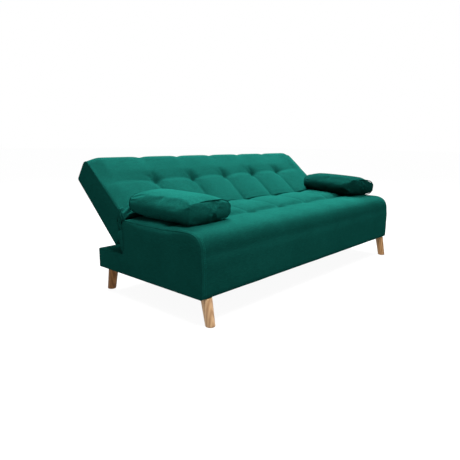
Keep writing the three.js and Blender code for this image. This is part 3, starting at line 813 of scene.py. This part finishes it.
def inflate(piece, weights, pressure, slack, cap, frames=20):
    """Fills a closed cover with Blender's cloth, holds its seams by weight and caps how far it moves."""
    before = np.array([v.co for v in piece.data.vertices])
    group = piece.vertex_groups.new(name="held")
    for i, weight in enumerate(weights):
        group.add([i], float(weight), "REPLACE")
    cloth = piece.modifiers.new("fill", "CLOTH")
    settings = {"quality": 5, "mass": 0.25, "tension_stiffness": 18, "compression_stiffness": 18,
                "shear_stiffness": 6, "bending_stiffness": 0.35, "vertex_group_mass": "held",
                "pin_stiffness": 1.0, "use_pressure": True, "uniform_pressure_force": pressure,
                "shrink_min": -slack, "shrink_max": -slack}
    for key, value in settings.items():
        setattr(cloth.settings, key, value)
    cloth.settings.effector_weights.gravity = 0
    cloth.collision_settings.use_collision = False
    cloth.point_cache.frame_start, cloth.point_cache.frame_end = 1, frames
    for frame_number in range(1, frames + 1):
        scene.frame_set(frame_number)
    graph = bpy.context.evaluated_depsgraph_get()
    filled = piece.evaluated_get(graph).to_mesh()
    after = np.array([v.co for v in filled.vertices])
    piece.evaluated_get(graph).to_mesh_clear()
    piece.modifiers.clear()
    piece.vertex_groups.clear()
    moved = after - before
    length = np.linalg.norm(moved, axis=1)[:, None] + 1e-9
    moved *= np.minimum(1.0, cap / length)
    piece.data.vertices.foreach_set("co", (before + moved).astype(np.float32).ravel())
    piece.data.update()
    scene.frame_set(1)


def tube_mesh(name, points, radius, sides=8, closed=True, material=None):
    """A round cord along a line of points."""
    count = len(points)
    verts = []
    for i, point in enumerate(points):
        ahead = points[(i + 1) % count] if closed or i < count - 1 else points[i]
        behind = points[i - 1] if closed or i > 0 else points[i]
        tangent = (ahead - behind).normalized()
        up = Vector((0.31, 0.17, 0.93))
        a = tangent.cross(up).normalized()
        b = tangent.cross(a)
        for angle in circle(sides):
            verts.append(point + radius * (math.cos(angle) * a + math.sin(angle) * b))
    faces = tube_faces(count, sides, closed)
    if not closed:
        faces.append(tuple(range(sides)))
        faces.append(tuple(reversed(range((count - 1) * sides, count * sides))))
    return make_mesh(name, verts, faces, material)


def join_pieces(name, parts, material):
    """Makes one mesh of several."""
    build = bmesh.new()
    for part in parts:
        build.from_mesh(part.data)
    mesh = bpy.data.meshes.new(name)
    build.to_mesh(mesh)
    build.free()
    for part in parts:
        bpy.data.objects.remove(part)
    mesh.materials.append(material)
    return add_object(name, mesh)


def bolster_seams(name, side):
    """The welt round each end panel."""
    half_l = BOLSTER_LENGTH / 2
    place = bolster_place(side)
    parts = []
    for sign in (-1, 1):
        ring = [bolster_section(angle, half_l) for angle in circle(160)]
        points = [place @ Vector((x, sign * half_l, z)) for x, z in ring]
        parts.append(tube_mesh("part", points, BOLSTER_WELT))
    return join_pieces(name, parts, SEAM)


for side in BOLSTERS:
    bolster = bolster_mesh(f"bolster_cushion_{side}", side)
    set_look(bolster, BOLSTER_PAINTED_LIGHT_FABRICS[side])
    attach(bolster, f"bolster_{side}")
    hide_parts(f"bolster_{side}")
    welt = bolster_seams(f"bolster_welt_{side}", side)
    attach(welt, f"bolster_{side}")

# -------- linings

LINING_THICK = 0.0008


def lining_sheet(name, x_half, low, high, place, ripple):
    """A thin stapled lining: slightly rippled between staples, with a turned-in border."""
    nx, nv = 220, 70
    row, size = nv + 1, (nx + 1) * (nv + 1)
    verts = []
    for layer in (0, 1):
        for i in range(nx + 1):
            for j in range(nv + 1):
                x = -x_half + 2 * x_half * i / nx
                v = low + (high - low) * j / nv
                border = min(x_half - abs(x), v - low, high - v)
                hem = 0.0006 * smooth_step((0.014 - border) / 0.004)
                wave = ripple * math.sin(x * 47) * math.sin(v * 23 + 1) * smooth_step(border / 0.05)
                verts.append(place(x, v, wave + hem + layer * LINING_THICK))
    under = sheet_faces(nx + 1, row)
    faces = [quad[::-1] for quad in under] + [tuple(a + size for a in quad) for quad in under]
    rim = [i * row for i in range(nx + 1)] + [nx * row + j for j in range(1, row)]
    rim += [i * row + nv for i in range(nx - 1, -1, -1)] + list(range(nv - 1, 0, -1))
    faces += [(a, b, b + size, a + size) for a, b in zip(rim, rim[1:] + rim[:1])]
    return make_mesh(name, verts, faces, LINING)


def behind_back(x, v, lift):
    return in_back(x, v, -0.0004 - lift)


def under_base(x, v, lift):
    return (x, v, BOTTOM - 0.0004 - lift)


BACK_SHEET, BACK_SHEET_HALF = (0.012, 0.431), 0.888
back_lining = lining_sheet("back_lining", BACK_SHEET_HALF, *BACK_SHEET, behind_back, 0.0006)
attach(back_lining, "backrest")
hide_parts("back_panel")

BASE_SHEET, BASE_SHEET_HALF = (FRONT + 0.008, REAR - 0.008), 0.892
base_lining = lining_sheet("underside_lining", BASE_SHEET_HALF, *BASE_SHEET, under_base, 0.001)
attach(base_lining, "base")
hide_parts("dust_cover")

# -------- the cloth between seat and back

def bridge_strip():
    """The cloth that joins the seat's rear edge to the backrest: it tucks down behind the seat's puffs."""
    verts = []
    columns, turns, rows = 320, 8, 22
    low_u, high_u, fold_height, fold_reach, fold_pitch = 0.044, 0.1, 0.0055, 0.075, 0.06
    us = np.linspace(low_u, high_u, rows - turns)
    tuck = np.array([SEAT_BACK - 0.003, SEAT_TOP - 0.012])
    bow = np.array([-0.005, 0.0])
    turn = np.linspace(0, 1, turns + 1)[:-1]
    for i in range(columns + 1):
        x = -HALF + 0.004 + (2 * HALF - 0.008) * i / columns
        runs = np.maximum(us, BACK_FACE_U) - BACK_FACE_U + BACK_FACE_RUN
        lift = back_shape(np.full(len(us), x), runs)
        face = BACK_FACE_W + lift + 0.0008 - 0.0035 * smooth_step((us - BACK_FACE_U) / 0.014)
        inboard = HALF - abs(x)
        near_end = math.exp(-((inboard / fold_reach) ** 2))
        path = [back_point(u, w) for u, w in zip(us, face)]
        lower = [tuck + (path[0] - tuck) * t + bow * math.sin(math.pi * t) for t in turn]
        for j, spot in enumerate(lower + path):
            t = j / (rows - 1)
            wave = math.sin(2 * math.pi * (2.7 * t - inboard / fold_pitch))
            fold = near_end * fold_height * wave * math.sin(math.pi * t) ** 0.6
            verts.append((x, *(spot + fold * OUT)))
    return make_mesh("bridge_fabric", verts, sheet_faces(columns + 1, rows), BACK_PAINTED_SHADE_FABRIC)


bridge = bridge_strip()
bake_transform(bridge)

# The gathered cloth at each end: its edges on the seat and on the backrest, in Y and Z, from the top down.
GUSSET_SEAT = [(0.052, 0.3985), (0.078, 0.3985), (0.0935, 0.389), (0.0958, 0.368), (0.0962, 0.34),
               (0.0962, 0.318)]
GUSSET_BACK = [(0.106, 0.452), (0.101, 0.437), (0.101, 0.424), (0.1195, 0.4), (0.1135, 0.362),
               (0.0985, 0.318)]


def along_points(points, t):
    """A smooth place on a line of points, t from 0 to 1."""
    points = np.array(points)
    spot = t * (len(points) - 1)
    i = min(int(spot), len(points) - 2)
    a, b = points[max(i - 1, 0)], points[i]
    c, d = points[i + 1], points[min(i + 2, len(points) - 1)]
    f = spot - i
    square, cube = 2 * a - 5 * b + 4 * c - d, 3 * b - a - 3 * c + d
    return 0.5 * (2 * b + (c - a) * f + square * f * f + cube * f ** 3)


def gusset(side):
    """Gathered cloth that closes the gap between seat and back at one end."""
    rows, columns = 80, 26
    rise, slack, pleat_depth = 0.0035, 0.0015, 0.0058
    verts = []
    for i in range(rows + 1):
        t = i / rows
        a, b = along_points(GUSSET_SEAT, t), along_points(GUSSET_BACK, t)
        for j in range(columns + 1):
            f = j / columns
            spot = a + (b - a) * f
            bulge = math.sin(math.pi * f) ** 0.7
            pleats = 0.5 + 0.5 * math.sin(2 * math.pi * (4.4 * t + 0.35 * f) + (0.4 if side > 0 else 0.0))
            ends = smooth_step(t / 0.12) * smooth_step((1 - t) / 0.2)
            out = rise + bulge * (slack + pleat_depth * pleats * ends)
            verts.append((side * (HALF - 0.0045 + out), spot[0], spot[1] + 0.002 * bulge * (pleats - 0.5)))
    return make_mesh(f"gusset_{SIDES[side]}", verts, sheet_faces(rows + 1, columns + 1), FABRIC)


for side in SIDES:
    fold = gusset(side)
    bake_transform(fold)

# How far the rear flap stands out behind the seat block, at heights from its lower end up.
FLAP_WIDTHS = [(0.244, 0.001), (0.27, 0.007), (0.3, 0.0145), (0.325, 0.021), (0.339, 0.017), (0.35, 0.004)]


def rear_flap(side):
    """The loose end of the side panel's cloth, behind the seat block's rear vertical edge."""
    rows, columns = 40, 10
    heights, widths = zip(*FLAP_WIDTHS)
    tucked = 0.012
    verts = []
    for i in range(rows + 1):
        z = heights[0] + (heights[-1] - heights[0]) * i / rows
        width = float(np.interp(z, heights, widths))
        for j in range(columns + 1):
            f = j / columns
            out = 0.0022 + 0.009 * math.sin(2.1 * f) * width / 0.021
            y = SEAT_BACK - tucked + (tucked + width) * f
            verts.append((side * (HALF + out), y, z + 0.003 * math.sin(5 * f)))
    return make_mesh(f"rear_flap_{SIDES[side]}", verts, sheet_faces(rows + 1, columns + 1), FABRIC)


for side in SIDES:
    flap = rear_flap(side)
    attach(flap, "base")

# -------- seams and stitching


class Surface:
    """Finds points on a lofted cover from a place along X and a run round its outline."""

    def __init__(self, ring, shape, edge_of, place):
        self.run, self.shape, self.place = ring_run(ring), shape, place
        self.edge = edge_of(self.run)
        self.known = [*ring.T, *ring_normals(ring).T, self.edge]

    def at(self, x, run, out=0.0):
        y, z, normal_y, normal_z, edge = [np.interp(run, self.run, values) for values in self.known]
        lift = float(self.shape(np.array([x]), np.array([run]))[0]) + out
        lift -= float(edge_inset(x, edge))
        return Vector(self.place(x, y + normal_y * lift, z + normal_z * lift))


def seam_welt(surface, side):
    """A corded seam round an end, half-way round the turn of its edge."""
    half_turn = 1 - math.cos(math.pi / 4)
    runs = zip(surface.run, surface.edge)
    points = [surface.at(side * (HALF - half_turn * edge), run) for run, edge in runs]
    return tube_mesh("part", points, END_WELT)


def stitch_row(surface, x, start, end):
    """A row of separate stitches along a run."""
    pitch, gap, radius = 0.0085, 0.0025, 0.0007
    heights = (-0.0006, 0.0006, 0.0006, -0.0006)
    parts = []
    for run in np.arange(start, end, pitch):
        points = [surface.at(x, run + (pitch - gap) * k / 3, h) for k, h in enumerate(heights)]
        parts.append(tube_mesh("part", points, radius, 5, False))
    return parts


base_surface = Surface(base_ring(), base_shape, base_edge, in_base)
back_surface = Surface(back_ring(), back_shape, back_edge, in_back)
base_front_run = SEAT_BACK - FRONT - ROLL + ROLL_ARC + 0.18
base_seams = [seam_welt(base_surface, side) for side in SIDES]
base_welt = join_pieces("base_seam_welt", base_seams, FABRIC)
back_seams = [seam_welt(back_surface, side) for side in SIDES]
back_welt = join_pieces("back_seam_welt", back_seams, BACK_PAINTED_SHADE_FABRIC)
base_stitches = []
for side in SIDES:
    for inset in (0.0155, 0.023):
        base_stitches += stitch_row(base_surface, side * (HALF - inset), 0.32, base_front_run)
stitches = join_pieces("base_top_stitching", base_stitches, THREAD)
for piece, body in ((base_welt, "base"), (stitches, "base"), (back_welt, "backrest")):
    smooth_shade(piece.data)
    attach(piece, body)

# -------- legs


def turned_leg(name, node, material):
    """A tapered, splayed leg on the node's own axis, with eased ends."""
    low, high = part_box(node)
    points = np.array([v.co for v in frame["nodes"][node].data.vertices])
    top = points[points[:, 2] > high.z - 0.0005]
    top_centre = (top.max(0) + top.min(0)) / 2
    top_radius = (top[:, 0].max() - top[:, 0].min()) / 2 + 0.0008
    foot_radius = top_radius * 0.85
    lean = math.copysign(LEG_SPLAY, top_centre[1] - (FRONT + REAR) / 2)
    foot_centre = np.array([top_centre[0], top_centre[1] + lean, low.z])
    profile = [(0.0, foot_radius - 0.003), (0.008, foot_radius - 0.001), (0.025, foot_radius)]
    profile += [(t, foot_radius + (top_radius - foot_radius) * t) for t in np.linspace(0.06, 0.97, 14)]
    profile += [(1.0, top_radius - 0.0006)]
    sides = 64
    verts = []
    for t, radius in profile:
        x, y, z = foot_centre + (top_centre - foot_centre) * t
        for angle in circle(sides):
            verts.append((x + radius * math.cos(angle), y + radius * math.sin(angle), z))
    faces = tube_faces(len(profile), sides)
    faces.append(tuple(reversed(range(sides))))
    faces.append(tuple(range((len(profile) - 1) * sides, len(profile) * sides)))
    piece = make_mesh(name, verts, faces, material)
    bevel = piece.modifiers.new("ease", "BEVEL")
    bevel.width = 0.0012
    bevel.segments = 3
    bevel.limit_method = "ANGLE"
    return piece


# Each leg takes its copy of the wood, with light or shade painted in by its tint.
for corner, leg_look in LEG_PAINTED_LIGHT_LOOKS.items():
    leg = turned_leg(f"turned_leg_{corner}", f"leg_{corner}", leg_look)
    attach(leg, "base")
    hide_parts(f"leg_{corner}")

# -------- the frame's own nodes

for node, piece in frame["nodes"].items():
    if piece.hide_render:
        continue
    set_look(piece, SLOT_LOOKS[RECORD_SLOTS[node]])
    weld = piece.modifiers.new("weld", "WELD")
    weld.merge_threshold = 1e-5

# -------- floor, light and camera

WIDE = 40
floor_mesh = bpy.data.meshes.new("studio_floor")
floor_corners = [(-WIDE, -WIDE, 0), (WIDE, -WIDE, 0), (WIDE, WIDE, 0), (-WIDE, WIDE, 0)]
floor_mesh.from_pydata(floor_corners, [], [(0, 1, 2, 3)])
floor = add_object("studio_floor", floor_mesh)
floor_mesh.materials.append(floor_paint("studio_floor_paint"))


def area_light(name, place, target, size, power):
    light = bpy.data.lights.new(name, "AREA")
    light.energy = power
    light.shape = "RECTANGLE"
    light.size, light.size_y = size
    lamp = add_object(name, light)
    lamp.location = place
    lamp.rotation_euler = (Vector(target) - Vector(place)).to_track_quat("-Z", "Y").to_euler()


area_light("overhead", place=(1.2, 1.3, 3.1), target=(0.1, 0.1, 0.3), size=(2.2, 1.8), power=860)
area_light("front_fill", place=(-0.9, -1.0, 2.7), target=(-0.6, -0.4, 0.35), size=(1.2, 1.0), power=160)

BRIGHT_SIDE = (0.7, 0.714, 0)
world = bpy.data.worlds.new("studio")
scene.world = world
world.use_nodes = True
tree = world.node_tree
add_node, link = tree.nodes.new, tree.links.new
backdrop = tree.nodes["Background"]
backdrop.inputs["Color"].default_value = (1, 1, 1, 1)
# The studio's light is weaker from the front left. Its walls look white from everywhere.
direction = add_node("ShaderNodeTexCoord")
ahead = add_node("ShaderNodeVectorMath")
ahead.operation = "DOT_PRODUCT"
ahead.inputs[1].default_value = BRIGHT_SIDE
dim = add_node("ShaderNodeMapRange")
for socket, value in (("From Min", -1.0), ("From Max", -0.1), ("To Min", 0.0), ("To Max", 1.0)):
    dim.inputs[socket].default_value = value
seen = add_node("ShaderNodeLightPath")
level = add_node("ShaderNodeMath")
level.operation = "MAXIMUM"
link(direction.outputs["Generated"], ahead.inputs[0])
link(ahead.outputs["Value"], dim.inputs["Value"])
link(dim.outputs["Result"], level.inputs[0])
link(seen.outputs["Is Camera Ray"], level.inputs[1])
link(level.outputs[0], backdrop.inputs["Strength"])

CAMERA_PLACE, CAMERA_TURN = (-2.1191, -1.7171, 0.7735), (78.720, -0.422, -47.770)  # metres, degrees
camera_data = bpy.data.cameras.new("camera")
camera_data.lens = 34.95
camera_data.sensor_width = 36
camera = add_object("camera", camera_data)
camera.location = CAMERA_PLACE
camera.rotation_euler = [math.radians(a) for a in CAMERA_TURN]
bpy.context.scene.camera = camera
scene.view_settings.view_transform = "Standard"
